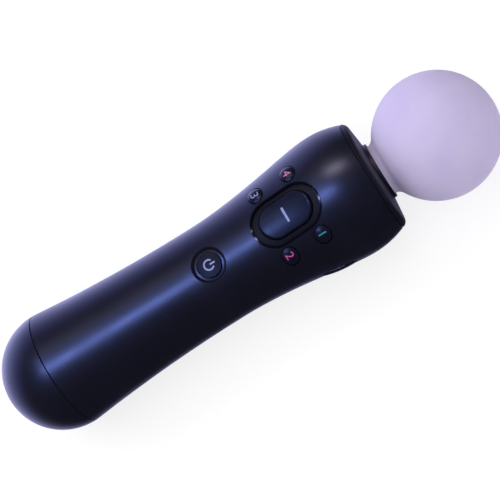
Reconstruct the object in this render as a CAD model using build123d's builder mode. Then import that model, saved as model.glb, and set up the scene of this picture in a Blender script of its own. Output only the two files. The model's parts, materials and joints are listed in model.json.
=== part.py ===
from build123d import *
import os
from math import atan2, cos, degrees, hypot, pi, radians, sin, sqrt, tan

# A hand-held motion controller wand, lying with its buttons up and its ball towards +X.
# X is zero at mid length, Y at mid width, Z at the lowest point of the trigger.

# Body
body_length = 151.3        # tail end to the seam of the collar ring
tail_diameter = 43.5
waist_diameter = 36.3
flare_diameter = 43.9
head_diameter = 46.4
seam_diameter = 41.6
tail_taper_angle = 6.3
flare_angle = 8.6
shoulder_angle = 21.3
waist_share = 0.582        # places along the body, counted from the tail
flare_share = 0.837
head_share = 0.919
shell_wall = 2.0
tail_cap_length = 22.6
cap_spigot_length = 4.0
cap_spigot_wall = 1.4
seam_groove_width = 0.45   # shadow line where two outer pieces meet
seam_groove_depth = 0.3

# Collar and ball
collar_length = 3.7
collar_edge_share = 0.52   # how far along the collar its rounded corner ends
collar_corner_drop = 1.9
collar_gap = 0.4
collar_lip_length = 1.1    # low ring of the collar round the neck
collar_lip_over = 0.3      # how far the ring passes the ball's near side
collar_lip_wall = 0.85
collar_lip_fillet = 0.2
collar_spigot_length = 3.0
collar_spigot_wall = 2.0
sphere_diameter = 45.0
sphere_wall = 1.6
neck_diameter = 18.7
neck_wall = 1.4
neck_fillet = 3.0          # soft foot of the ball on its neck

# Clearances
slide_gap = 0.3            # between pieces that move against each other
fit_gap = 0.1              # between fixed pieces
pin_gap = 0.04
cut_over = 1.0             # overrun of every cut

# Main button and its bezel
main_button_setback = 30.35
main_button_length = 20.0
main_button_width = 12.0
main_button_tail_proud = 0.4
main_button_head_proud = 1.2
main_button_dip = 1.0      # how far its middle lies below a line between its ends
main_button_fillet = 0.8
main_foot_length = 8.0
main_foot_width = 4.0
recess_length = 26.7
recess_width = 17.0
recess_depth = 0.8
rim_width = 0.6
rim_proud = 0.25
bezel_lip = 0.5
bezel_lip_thickness = 1.0
flange_rim = 1.1
flange_thickness = 1.0
button_travel = 0.8

# Face buttons
face_hole_diameter = 6.0
face_web = 0.6
face_pair_forward = 7.35
face_pair_back = 6.1
face_dome_radius = 5.0
face_button_proud = 1.2
face_flange_rim = 0.6
foot_diameter = 3.2

# Home button
home_button_setback = 62.0
home_button_diameter = 8.6
home_recess_diameter = 10.6
home_recess_depth = 1.1
home_recess_chamfer = 1.0
home_button_sink = 0.55
home_button_crown = 0.35

# Side buttons
side_button_setback = 26.1
side_button_length = 13.0
side_button_height = 4.4
side_button_proud = 0.7
side_button_crown = 0.6
side_foot_length = 5.0
side_foot_height = 2.0

# Trigger
trigger_stand = 1.2        # how far the trigger reaches below the head
trigger_width = 14.0
trigger_reach = 22.6       # pin to the trigger's front
trigger_lip_radius = 2.0
trigger_hollow = 1.1
trigger_fillet = 1.6
trigger_depth = 8.0
trigger_tail = 2.8
trigger_tab_length = 2.4
trigger_tab_width = 10.0
trigger_tab_thickness = 1.8
hub_radius = 2.4
pin_diameter = 2.0
pin_depth = 13.6           # wand axis down to the trigger pin
pin_setback = 40.3
lug_thickness = 2.4
spring_setback = 26.5
spring_diameter = 5.6
spring_wire = 0.5
spring_turns = 5
spring_seat_depth = 6.0
spring_floor_depth = 15.6
spring_post_diameter = 3.2
spring_post_length = 2.5

# Reset plunger
reset_ahead = 7.5          # ahead of the trigger pin, towards the tail
reset_side = 5.0
reset_diameter = 1.8
reset_travel = 0.5
reset_sink = 1.0
reset_flange_diameter = 3.6
reset_flange_thickness = 1.0
reset_tube_wall = 1.0
reset_tube_depth = 8.0
reset_switch_size = 3.4
reset_switch_height = 1.5

# Inner frame and ribs
deck_thickness = 1.4
rib_thickness = 1.6
frame_boss_diameter = 5.0
standoff_diameter = 4.4
clip_ear = 1.2
clip_length = 3.0
front_rib_setback = 11.0
mid_rib_width = 8.0

# Boards and what they carry
board_width = 24.0
board_thickness = 1.0
board_lift = 1.7           # deck to the underside of the main board
board_end_margin = 12.0
membrane_thickness = 0.6
membrane_dome_height = 1.2
membrane_dome_diameter = 4.4
switch_length = 6.0
switch_depth = 3.0
plunger_length = 0.6
plunger_diameter = 2.0
chip_size = 7.0
chip_height = 0.9
radio_length = 11.0
radio_width = 8.0
radio_height = 1.6
sensor_size = 4.0
sensor_height = 1.0

# Battery
battery_inset = 1.0        # board's edge to the battery's side
battery_thickness = 7.6
battery_corner = 1.5
battery_pad_thickness = 1.0
battery_ahead = 5.5        # gap from the reset plunger's centre
battery_plug_length = 5.0
battery_plug_width = 2.5
battery_plug_height = 2.6
lead_diameter = 1.6
lead_bend = 2.0
lead_drop = 2.2

# Rumble motor
motor_diameter = 13.0
motor_length = 18.0
motor_sink = 5.0
motor_behind_seam = 4.4
motor_boot_wall = 1.0
motor_boot_length = 14.0
motor_front_gap = 6.0
shaft_diameter = 2.0
shaft_length = 8.6
shaft_socket = 2.0
weight_radius = 5.5
weight_length = 6.0
weight_gap = 1.2
hub_wall = 1.2
motor_wire_diameter = 1.0
motor_wire_spacing = 1.4
motor_socket_length = 4.0
motor_socket_height = 1.6

# Shell screws
screw_diameter = 2.0
screw_head_diameter = 3.8
screw_head_height = 1.2
screw_length = 9.0
screw_sink = 3.0
post_diameter = 5.2
front_post_setback = 6.0
front_post_side = 13.0
rear_post_ahead = 7.9
rear_post_side = 11.5
small_screw_diameter = 1.6
small_screw_head_diameter = 3.0
small_screw_head_height = 1.0
small_screw_length = 4.0

# Tail board and its sockets
tail_board_depth = 8.5     # tail end to the board's rear face
tail_board_diameter = 24.0
tail_board_thickness = 1.0
tail_post_side = 9.2
tail_post_diameter = 3.6
socket_sink = 0.5
usb_width = 7.7
usb_height = 3.9
usb_wall = 0.4
usb_drop = 5.0
extension_width = 12.0
extension_height = 5.2
extension_wall = 0.9
extension_rise = 4.0
tongue_share = 0.4
contact_diameter = 2.4
contact_side = 7.2
strap_bar_diameter = 2.0
strap_stub_diameter = 1.4
strap_gap = 2.2
strap_slot_width = 8.0
strap_pocket_depth = 4.6
strap_pocket_wall = 1.4
strap_bar_depth = 1.6      # surface to the bar's centre
strap_bar_from_tail = 16.0
cable_width = 6.0
cable_thickness = 1.2
cable_socket_length = 4.0
cable_socket_width = 8.0
cable_socket_height = 3.0

# Lamp
lamp_flange_diameter = 28.0
lamp_flange_thickness = 1.6
lamp_tube_wall = 1.3
lamp_tube_length = 7.0
lamp_step = 1.0
led_board_thickness = 1.0
led_size = 5.0
led_height = 1.2
lens_thickness = 1.5
lens_crown = 1.4
lens_seat = 0.5
lamp_screw_radius = 11.5
flex_margin = 1.0          # side of the socket to the edge of the flexible lead
flex_thickness = 0.3
flex_rise = 2.4
flex_socket_length = 3.0
flex_socket_gap = 0.8      # between the socket and the screw heads beside it
flex_socket_height = 1.5
flex_socket_margin = 1.0

# Places worked out from the sizes
wand_length = body_length + collar_length + sphere_diameter
tail_x = -wand_length / 2
seam_x = tail_x + body_length
collar_front_x = seam_x + collar_length
sphere_x = collar_front_x + sphere_diameter / 2
tail_seam_x = tail_x + tail_cap_length
tail_radius = tail_diameter / 2
dome_x = tail_x + tail_radius
waist_x = tail_x + waist_share * body_length
flare_x = tail_x + flare_share * body_length
head_x = tail_x + head_share * body_length
axis_z = head_diameter / 2 + trigger_stand
neck_radius = neck_diameter / 2
main_x = seam_x - main_button_setback
home_x = seam_x - home_button_setback
side_x = seam_x - side_button_setback
pin_x = seam_x - pin_setback
spring_x = seam_x - spring_setback
reset_x = pin_x - reset_ahead
face_y = recess_width / 2 + face_web + face_hole_diameter / 2
face_upper_x = main_x + face_pair_forward
face_lower_x = main_x - face_pair_back
deck_width = board_width - 2 * switch_depth
battery_width = board_width - 2 * battery_inset
deck_bottom = -deck_thickness
board_bottom = board_lift
board_top = board_bottom + board_thickness
dome_top = board_top + membrane_thickness + membrane_dome_height
foot_end = dome_top + button_travel + fit_gap
front_post_x = seam_x - front_post_setback
rear_post_x = tail_seam_x + rear_post_ahead
board_front_x = front_post_x - post_diameter / 2 - cut_over
board_back_x = home_x - board_end_margin
front_rib_x = seam_x - front_rib_setback
battery_front_x = reset_x - battery_ahead
motor_back_x = tail_seam_x + motor_behind_seam
motor_front_x = motor_back_x + motor_length
battery_back_x = motor_front_x + motor_front_gap
rear_rib_x = (motor_front_x + battery_back_x) / 2
battery_top = deck_bottom - battery_pad_thickness
battery_bottom = battery_top - battery_thickness
tail_board_x = tail_x + tail_board_depth

# Planes and axes
wand_axis = Axis((0, 0, axis_z), (1, 0, 0))
side_plane = Plane(origin=(0, 0, axis_z), x_dir=(1, 0, 0), z_dir=(0, -1, 0))


def level(height):
    """Level plane at a height above the wand's axis."""
    return Plane(origin=(0, 0, axis_z + height))


def across(x):
    """Plane across the wand, its own x along Y and its own y along Z."""
    return Plane(origin=(x, 0, axis_z), x_dir=(0, 1, 0), z_dir=(1, 0, 0))


def sideways(side, distance):
    """Upright plane along the wand, facing out to one side."""
    return Plane(origin=(0, side * distance, axis_z), x_dir=(1, 0, 0), z_dir=(0, side, 0))


# Outline of the body
def stations(inset):
    """Place, radius and slope of the outline where its curves join."""
    bulb = tail_radius - inset
    turn = radians(tail_taper_angle)
    return (
        (dome_x + bulb * sin(turn), bulb * cos(turn), -tan(turn)),
        (waist_x, waist_diameter / 2 - inset, 0),
        (flare_x, flare_diameter / 2 - inset, tan(radians(flare_angle))),
        (head_x, head_diameter / 2 - inset, 0),
        (seam_x, seam_diameter / 2 - inset, -tan(radians(shoulder_angle))),
    )


def curve_points(start, end):
    """Four control points of the curve between two stations."""
    third = (end[0] - start[0]) / 3
    return (
        (start[0], start[1]),
        (start[0] + third, start[1] + third * start[2]),
        (end[0] - third, end[1] - third * end[2]),
        (end[0], end[1]),
    )


def body_radius(x, inset=0):
    """Radius of the body at a place along it."""
    marks = stations(inset)
    if x <= marks[0][0]:
        return sqrt((tail_radius - inset) ** 2 - (x - dome_x) ** 2)
    for start, end in zip(marks, marks[1:]):
        if x <= end[0]:
            break
    share = (x - start[0]) / (end[0] - start[0])
    near, near_mid, far_mid, far = (point[1] for point in curve_points(start, end))
    rest = 1 - share
    return (near * rest**3 + 3 * near_mid * rest**2 * share
            + 3 * far_mid * rest * share**2 + far * share**3)


def wand_space(inset):
    """All that lies within the body's surface, set in by a depth, up to the collar seam."""
    marks = stations(inset)
    with BuildPart() as space:
        with BuildSketch(side_plane):
            with BuildLine():
                CenterArc((dome_x, 0), tail_radius - inset, 90 - tail_taper_angle, 90 + tail_taper_angle)
                for start, end in zip(marks, marks[1:]):
                    Bezier(*curve_points(start, end))
                Line((seam_x, marks[-1][1]), (seam_x, 0))
                Line((seam_x, 0), (dome_x - tail_radius + inset, 0))
            make_face()
        revolve(axis=wand_axis)
    return space.part


def prism(plane, centre, length, width, outer, inner=None):
    """Round-ended bar along a plane's normal, kept inside one space and outside another."""
    with BuildPart() as bar:
        with BuildSketch(plane):
            with Locations(centre):
                if length > width:
                    SlotOverall(length, width)
                else:
                    Circle(width / 2)
        extrude(amount=head_diameter)
        add(outer, mode=Mode.INTERSECT)
        if inner is not None:
            add(inner, mode=Mode.SUBTRACT)
    return bar.part


def crown(top, along, outward, half_length, half_width, drop):
    """Egg-shaped space that rounds off a button, its highest point at the given place."""
    egg_radius = (half_width**2 + drop**2) / (2 * drop)
    egg_length = half_length / sqrt(1 - (1 - drop / egg_radius) ** 2)
    middle = Vector(*top) - Vector(*outward) * egg_radius
    egg_plane = Plane(origin=middle, x_dir=along, z_dir=Vector(*along).cross(Vector(*outward)))
    with BuildPart() as egg:
        with BuildSketch(egg_plane):
            Ellipse(egg_length, egg_radius)
            Rectangle(2 * egg_length, egg_radius, align=(Align.CENTER, Align.MAX), mode=Mode.SUBTRACT)
        revolve(axis=Axis(middle, along))
    return egg.part


def slope_angle(x, reach):
    """How steeply the body widens over a button."""
    return atan2(body_radius(x + reach) - body_radius(x - reach), 2 * reach)


def rib(x, top, width=None, hollow=None):
    """Upright wall across the lower shell, as high as given, from its skin inwards."""
    with BuildPart() as wall:
        with BuildSketch(across(x - rib_thickness / 2)):
            with Locations((0, top)):
                Rectangle(width or head_diameter, head_diameter, align=(Align.CENTER, Align.MAX))
            if hollow:
                with Locations((0, -motor_sink)):
                    Circle(hollow, mode=Mode.SUBTRACT)
        extrude(amount=rib_thickness)
        add(wall_core, mode=Mode.INTERSECT)
    return wall.part


outer_space = wand_space(0)
inner_space = wand_space(shell_wall)
wall_core = wand_space(shell_wall / 2)
post_places = [
    (x, side * y)
    for x, y in ((front_post_x, front_post_side), (rear_post_x, rear_post_side))
    for side in (1, -1)
]


def ring_groove(x):
    """V-shaped groove round the wand, for the pieces on both sides of a ring seam."""
    surface = body_radius(x)
    with BuildPart() as groove:
        with BuildSketch(side_plane):
            with BuildLine():
                Polyline(
                    (x, surface - seam_groove_depth),
                    (x + seam_groove_width, surface + seam_groove_depth),
                    (x - seam_groove_width, surface + seam_groove_depth),
                    (x, surface - seam_groove_depth),
                )
            make_face()
        revolve(axis=wand_axis)
    return groove.part


def half_shell(keep):
    """Half of the grip between the two seams, with its share of the grooves along them."""
    with BuildPart() as long_groove:
        with BuildSketch(level(-seam_groove_width / 4)):
            Rectangle(wand_length, 2 * head_diameter)
        extrude(amount=seam_groove_width / 2)
        add(wand_space(seam_groove_depth / 2), mode=Mode.SUBTRACT)
    with BuildPart() as half:
        add(outer_space)
        add(inner_space, mode=Mode.SUBTRACT)
        split(bisect_by=across(tail_seam_x), keep=Keep.TOP)
        split(bisect_by=level(0), keep=keep)
        add(long_groove.part, mode=Mode.SUBTRACT)
        add(tail_groove, mode=Mode.SUBTRACT)
        add(collar_groove, mode=Mode.SUBTRACT)
    return half.part


def save(piece, name):
    """Label a finished piece and write its file."""
    piece.part.label = name
    export_step(piece.part, f"parts/{name}.step")


os.makedirs("parts", exist_ok=True)
tail_groove = ring_groove(tail_seam_x)
collar_groove = ring_groove(seam_x)

# Main button and its bezel
main_tail_x = main_x - main_button_length / 2 - cut_over
main_head_x = main_x + main_button_length / 2 + cut_over
main_tail_radius = body_radius(main_tail_x) + main_button_tail_proud
main_head_radius = body_radius(main_head_x) + main_button_head_proud
main_dip_radius = (main_tail_radius + main_head_radius) / 2 - main_button_dip
with BuildPart() as main_saddle:
    with BuildSketch(side_plane):
        with BuildLine():
            ThreePointArc(
                (main_tail_x, main_tail_radius), (main_x, main_dip_radius), (main_head_x, main_head_radius)
            )
            Polyline(
                (main_head_x, main_head_radius), (main_head_x, 0), (main_tail_x, 0),
                (main_tail_x, main_tail_radius),
            )
        make_face()
    revolve(axis=wand_axis)
lip_top = shell_wall + fit_gap
lip_bottom = lip_top + bezel_lip_thickness
flange_top = lip_bottom + slide_gap
flange_bottom = flange_top + flange_thickness
flange_space = wand_space(flange_top)
below_flange = wand_space(flange_bottom)
flange_core = wand_space(flange_top + flange_thickness / 2)
main_place = (main_x, 0)
main_stem = prism(
    level(0), main_place, main_button_length, main_button_width, main_saddle.part, flange_core
)
main_flange = prism(
    level(0), main_place, main_button_length + 2 * flange_rim, main_button_width + 2 * flange_rim,
    flange_space, below_flange,
)
main_foot = prism(level(foot_end), main_place, main_foot_length, main_foot_width, flange_core)

with BuildPart() as main_button:
    add(main_stem)
    fillet(main_button.faces().sort_by(Axis.Z)[-1].edges(), radius=main_button_fillet)
    add(main_flange)
    add(main_foot)
save(main_button, "main_button")

moat_space = wand_space(recess_depth)
bezel_well = prism(level(0), main_place, recess_length, recess_width, moat_space, wand_space(lip_bottom))
bezel_edge = prism(
    level(0), main_place, recess_length + 2 * bezel_lip, recess_width + 2 * bezel_lip,
    wand_space(lip_top), wand_space(lip_bottom),
)
bezel_rim = prism(level(0), main_place, recess_length, recess_width, wand_space(-rim_proud), moat_space)

with BuildPart() as button_bezel:
    add(bezel_rim)
    with BuildSketch(level(0)):
        with Locations(main_place):
            SlotOverall(recess_length - 2 * rim_width, recess_width - 2 * rim_width)
    extrude(amount=head_diameter, mode=Mode.SUBTRACT)
    add(bezel_well)
    add(bezel_edge)
    with BuildSketch(level(0)):
        with Locations(main_place):
            SlotOverall(main_button_length + 2 * slide_gap, main_button_width + 2 * slide_gap)
    extrude(amount=head_diameter, mode=Mode.SUBTRACT)
save(button_bezel, "button_bezel")

# Face buttons
face_places = [
    (face_upper_x, -face_y),
    (face_lower_x, -face_y),
    (face_lower_x, face_y),
    (face_upper_x, face_y),
]
face_radius = face_hole_diameter / 2 - slide_gap
face_flange_radius = face_hole_diameter / 2 + face_flange_rim
for number, (x, y) in enumerate(face_places, start=1):
    local_radius = body_radius(x)
    lean = y / local_radius
    rise = sqrt(1 - lean**2)
    ball_reach = local_radius + face_button_proud - face_dome_radius
    ball_height = ball_reach * rise
    room = body_radius(x - face_flange_radius, shell_wall + slide_gap)
    flange_height = sqrt(room**2 - (face_y + face_flange_radius) ** 2) - flange_thickness
    with BuildPart() as face_button:
        with BuildSketch(level(ball_height)):
            with Locations((x, y)):
                Circle(face_radius)
        extrude(amount=face_dome_radius)
        with Locations((x, ball_reach * lean, axis_z + ball_height)):
            Sphere(face_dome_radius, mode=Mode.INTERSECT)
        with BuildSketch(level(flange_height)):
            with Locations((x, y)):
                Circle(face_radius)
        extrude(amount=ball_height - flange_height)
        with BuildSketch(level(flange_height)):
            with Locations((x, y)):
                Circle(face_flange_radius)
        extrude(amount=flange_thickness)
        with BuildSketch(level(foot_end)):
            with Locations((x, y - y / face_y * foot_diameter / 2)):
                Circle(foot_diameter / 2)
        extrude(amount=flange_height - foot_end)
    save(face_button, f"face_button_{number}")

# Home button
home_radius = home_button_diameter / 2
home_flange_radius = home_radius + flange_rim
home_surface = body_radius(home_x)
home_room = body_radius(home_x, shell_wall + slide_gap)
home_flange_height = sqrt(home_room**2 - home_flange_radius**2) - flange_thickness
home_crown = crown(
    (home_x, 0, axis_z + home_surface - home_button_sink),
    (1, 0, 0), (0, 0, 1), home_radius, home_radius, home_button_crown,
)
home_stem = prism(level(home_flange_height), (home_x, 0), 0, home_button_diameter, home_crown)

with BuildPart() as home_button:
    add(home_stem)
    with BuildSketch(level(home_flange_height)):
        with Locations((home_x, 0)):
            Circle(home_flange_radius)
    extrude(amount=flange_thickness)
    with BuildSketch(level(foot_end)):
        with Locations((home_x, 0)):
            Circle(foot_diameter / 2)
    extrude(amount=home_flange_height - foot_end)
save(home_button, "home_button")

# Start and select buttons
side_tilt = slope_angle(side_x, side_button_length / 2)
side_flange_top = shell_wall + slide_gap
side_flange_bottom = side_flange_top + flange_thickness
side_flange_space = wand_space(side_flange_top)
side_flange_middle = side_flange_top + flange_thickness / 2
side_flange_core = wand_space(side_flange_middle)
side_flange_end = wand_space(side_flange_bottom)
switch_face = board_width / 2 + plunger_length
side_foot_end = switch_face + button_travel + fit_gap
side_foot_reach = body_radius(side_x, side_flange_middle) - side_foot_end
for name, side in (("start_button", -1), ("select_button", 1)):
    side_crown = crown(
        (side_x, side * (body_radius(side_x) + side_button_proud), axis_z),
        (cos(side_tilt), side * sin(side_tilt), 0),
        (-sin(side_tilt), side * cos(side_tilt), 0),
        side_button_length / 2, side_button_height / 2, side_button_crown,
    )
    side_place = (side_x, 0)
    side_cap = prism(
        sideways(side, 0), side_place, side_button_length, side_button_height, side_crown, side_flange_core
    )
    side_flange = prism(
        sideways(side, 0), side_place, side_button_length + 2 * flange_rim,
        side_button_height + 2 * flange_rim, side_flange_space, side_flange_end,
    )
    with BuildPart() as side_button:
        add(side_cap)
        add(side_flange)
        with BuildSketch(sideways(side, side_foot_end)):
            with Locations(side_place):
                SlotOverall(side_foot_length, side_foot_height)
        extrude(amount=side_foot_reach)
    save(side_button, name)

# Trigger, with its side outline drawn from the pin
pin_place = (pin_x, -pin_depth)
lip_height = trigger_lip_radius - axis_z
lip_reach = trigger_reach - trigger_lip_radius
lip_x = pin_x + sqrt(lip_reach**2 - (lip_height + pin_depth) ** 2)
lip_turn = degrees(atan2(lip_height + pin_depth, lip_x - pin_x))
heel_x = pin_x - trigger_tail
heel = (heel_x, -body_radius(heel_x))
lip_start = (lip_x - trigger_lip_radius * cos(pi / 4), lip_height - trigger_lip_radius * sin(pi / 4))
hollow_point = ((heel[0] + lip_start[0]) / 2, (heel[1] + lip_start[1]) / 2 + trigger_hollow)
front_top = (pin_x + sqrt(trigger_reach**2 - (trigger_depth / 4) ** 2), -pin_depth - trigger_depth / 4)
front_start = (
    pin_x + trigger_reach * cos(radians(lip_turn)),
    -pin_depth + trigger_reach * sin(radians(lip_turn)),
)
front_middle_turn = radians((lip_turn + degrees(atan2(front_top[1] + pin_depth, front_top[0] - pin_x))) / 2)
front_middle = (
    pin_x + trigger_reach * cos(front_middle_turn),
    -pin_depth + trigger_reach * sin(front_middle_turn),
)
hub_top = (pin_x, -pin_depth + hub_radius)
hub_back = (pin_x - hub_radius, -pin_depth)
tab_radius = pin_x + trigger_reach + trigger_tab_length
tab_space = wand_space(shell_wall + slide_gap)
tab_floor = wand_space(shell_wall + slide_gap + trigger_tab_thickness)
tab_back_x = pin_x + trigger_reach - trigger_tab_length

with BuildPart() as trigger_tab:
    with BuildSketch(level(0)):
        with Locations((tab_back_x, 0)):
            Rectangle(tab_radius - tab_back_x, trigger_tab_width, align=(Align.MIN, Align.CENTER))
    extrude(amount=-head_diameter)
    add(tab_space, mode=Mode.INTERSECT)
    add(tab_floor, mode=Mode.SUBTRACT)

with BuildPart() as trigger:
    with BuildSketch(side_plane):
        with BuildLine():
            ThreePointArc(heel, hollow_point, lip_start)
            CenterArc((lip_x, lip_height), trigger_lip_radius, 225, 135 + lip_turn)
            ThreePointArc(front_start, front_middle, front_top)
            Line(front_top, hub_top)
            Line(hub_top, hub_back)
            Line(hub_back, heel)
        make_face()
        with Locations(pin_place):
            Circle(hub_radius)
    extrude(amount=trigger_width / 2, both=True)
    outline_edges = trigger.edges().filter_by(GeomType.CIRCLE).filter_by(
        lambda edge: edge.center().Z < axis_z - body_radius(heel_x) + trigger_fillet
    )
    fillet(outline_edges, radius=trigger_fillet)
    add(trigger_tab.part)
    with BuildSketch(side_plane):
        with Locations(pin_place):
            Circle(pin_diameter / 2 + pin_gap)
    extrude(amount=trigger_width, both=True, mode=Mode.SUBTRACT)
    with BuildSketch(level(-spring_floor_depth)):
        with Locations((spring_x, 0)):
            Circle(spring_diameter / 2 + slide_gap)
    extrude(amount=spring_floor_depth, mode=Mode.SUBTRACT)
save(trigger, "trigger")

lug_face = trigger_width / 2 + slide_gap
with BuildPart() as trigger_pin:
    with BuildSketch(side_plane):
        with Locations(pin_place):
            Circle(pin_diameter / 2)
    extrude(amount=lug_face + lug_thickness, both=True)
    chamfer(trigger_pin.edges().filter_by(GeomType.CIRCLE), length=pin_diameter / 8)
save(trigger_pin, "trigger_pin")

spring_length = spring_floor_depth - spring_seat_depth - 2 * pin_gap
coil_radius = (spring_diameter - spring_wire) / 2
coil_height = spring_length - spring_wire
coil_start = -spring_floor_depth + pin_gap + spring_wire / 2
with BuildPart() as trigger_spring:
    with BuildLine(Plane(origin=(spring_x, 0, axis_z + coil_start))):
        coil = Helix(pitch=coil_height / spring_turns, height=coil_height, radius=coil_radius)
    with BuildSketch(Plane(origin=coil @ 0, z_dir=coil % 0)):
        Circle(spring_wire / 2)
    sweep(path=coil, is_frenet=True)
save(trigger_spring, "trigger_spring")
coil_pitch = coil_height / spring_turns
coil_lean = atan2(coil_pitch, 2 * pi * coil_radius)
print("spring: gap between turns", round(coil_pitch * cos(coil_lean) - spring_wire, 2))

with BuildPart() as trigger_sensor:
    with BuildSketch(level(deck_bottom)):
        with Locations((pin_x + chip_size / 2, 0)):
            Rectangle(chip_size, chip_size)
    extrude(amount=-radio_height)
save(trigger_sensor, "trigger_sensor")

# Reset plunger and its switch
reset_place = (reset_x, -reset_side)
reset_surface = sqrt(body_radius(reset_x) ** 2 - reset_side**2)
reset_bottom = -reset_surface + reset_sink
reset_top = board_bottom - reset_switch_height - reset_travel - fit_gap
reset_flange_bottom = -reset_tube_depth + slide_gap
with BuildPart() as reset_button:
    with BuildSketch(level(reset_bottom)):
        with Locations(reset_place):
            Circle(reset_diameter / 2)
    extrude(amount=reset_top - reset_bottom)
    with BuildSketch(level(reset_flange_bottom)):
        with Locations(reset_place):
            Circle(reset_flange_diameter / 2)
    extrude(amount=reset_flange_thickness)
save(reset_button, "reset_button")

with BuildPart() as reset_switch:
    with BuildSketch(level(board_bottom)):
        with Locations(reset_place):
            Rectangle(reset_switch_size, reset_switch_size)
    extrude(amount=-reset_switch_height)
save(reset_switch, "reset_switch")

# Battery, pad and lead
battery_length = battery_front_x - battery_back_x - 2 * slide_gap
battery_x = (battery_front_x + battery_back_x) / 2
with BuildPart() as battery:
    with BuildSketch(level(battery_bottom)):
        with Locations((battery_x, 0)):
            Rectangle(battery_length, battery_width)
    extrude(amount=battery_thickness)
    fillet(battery.edges().filter_by(Axis.X), radius=battery_corner)
save(battery, "battery")

with BuildPart() as battery_pad:
    with BuildSketch(level(battery_top)):
        with Locations((battery_x, 0)):
            Rectangle(battery_length / 2, deck_width - 2 * cut_over)
    extrude(amount=battery_pad_thickness)
save(battery_pad, "battery_pad")

plug_y = (board_width - battery_plug_width) / 2
plug_x = battery_front_x + lead_bend + lead_diameter
plug_bottom = board_bottom - battery_plug_height
lead_height = battery_top - lead_drop
lead_y = deck_width / 2 + slide_gap + lead_diameter / 2
lead_start_x = battery_x + battery_length / 2
with BuildPart() as battery_lead:
    with BuildLine(Plane(origin=(0, lead_y, axis_z), x_dir=(1, 0, 0), z_dir=(0, -1, 0))):
        lead_path = FilletPolyline(
            (lead_start_x, lead_height), (plug_x, lead_height), (plug_x, plug_bottom), radius=lead_bend
        )
    with BuildSketch(Plane(origin=lead_path @ 0, z_dir=lead_path % 0)):
        Circle(lead_diameter / 2)
    sweep(path=lead_path)
save(battery_lead, "battery_lead")

with BuildPart() as battery_socket:
    with BuildSketch(level(plug_bottom)):
        with Locations((plug_x, plug_y)):
            Rectangle(battery_plug_length, battery_plug_width)
    extrude(amount=battery_plug_height)
save(battery_socket, "battery_socket")

# Rumble motor, its boot, shaft and eccentric weight
motor_radius = motor_diameter / 2
shaft_radius = shaft_diameter / 2
with BuildPart() as rumble_motor:
    with BuildSketch(across(motor_back_x)):
        with Locations((0, -motor_sink)):
            Circle(motor_radius)
    extrude(amount=motor_length)
    chamfer(rumble_motor.edges().filter_by(GeomType.CIRCLE), length=fit_gap * 4)
    with BuildSketch(across(motor_back_x)):
        with Locations((0, -motor_sink)):
            Circle(shaft_radius + pin_gap)
    extrude(amount=shaft_socket + pin_gap, mode=Mode.SUBTRACT)
save(rumble_motor, "rumble_motor")

boot_x = motor_back_x + (motor_length - motor_boot_length) / 2
with BuildPart() as motor_boot:
    with BuildSketch(across(boot_x)):
        with Locations((0, -motor_sink)):
            Circle(motor_radius + motor_boot_wall)
            Circle(motor_radius, mode=Mode.SUBTRACT)
    extrude(amount=motor_boot_length)
save(motor_boot, "motor_boot")

shaft_end_x = motor_back_x - shaft_length
with BuildPart() as motor_shaft:
    with BuildSketch(across(shaft_end_x)):
        with Locations((0, -motor_sink)):
            Circle(shaft_radius)
    extrude(amount=shaft_length + shaft_socket)
save(motor_shaft, "motor_shaft")

weight_x = motor_back_x - weight_gap - weight_length
with BuildPart() as eccentric_weight:
    with BuildSketch(across(weight_x)):
        with Locations((0, -motor_sink)):
            Circle(weight_radius)
            Rectangle(2 * weight_radius, weight_radius, align=(Align.CENTER, Align.MIN), mode=Mode.SUBTRACT)
            Circle(shaft_radius + hub_wall)
            Circle(shaft_radius, mode=Mode.SUBTRACT)
    extrude(amount=weight_length)
save(eccentric_weight, "eccentric_weight")

motor_socket_back_x = board_back_x + cut_over
wire_height = fit_gap + motor_wire_diameter / 2
with BuildPart() as motor_lead:
    with BuildSketch(across(motor_front_x)):
        with Locations((motor_wire_spacing / 2, wire_height), (-motor_wire_spacing / 2, wire_height)):
            Circle(motor_wire_diameter / 2)
    extrude(amount=motor_socket_back_x - motor_front_x)
save(motor_lead, "motor_lead")

with BuildPart() as motor_socket:
    with BuildSketch(level(board_bottom)):
        with Locations((motor_socket_back_x, 0)):
            Rectangle(motor_socket_length, motor_socket_length, align=(Align.MIN, Align.CENTER))
    extrude(amount=-motor_socket_height)
save(motor_socket, "motor_socket")

# Main board, its components and the keypad membrane
board_length = board_front_x - board_back_x
board_x = (board_front_x + board_back_x) / 2
board_screw_side = deck_width / 2 - standoff_diameter / 2
board_screw_back_x = board_back_x + board_end_margin / 2 + cut_over
board_screw_front_x = board_front_x - standoff_diameter / 2 - cut_over
board_screw_places = [
    (x, side * board_screw_side)
    for x in (board_screw_back_x, board_screw_front_x)
    for side in (1, -1)
]
with BuildPart() as main_board:
    with BuildSketch(level(board_bottom)):
        with Locations((board_x, 0)):
            Rectangle(board_length, board_width)
        with Locations(*board_screw_places):
            Circle(small_screw_diameter / 2 + fit_gap, mode=Mode.SUBTRACT)
    extrude(amount=board_thickness)
save(main_board, "main_board")

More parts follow.
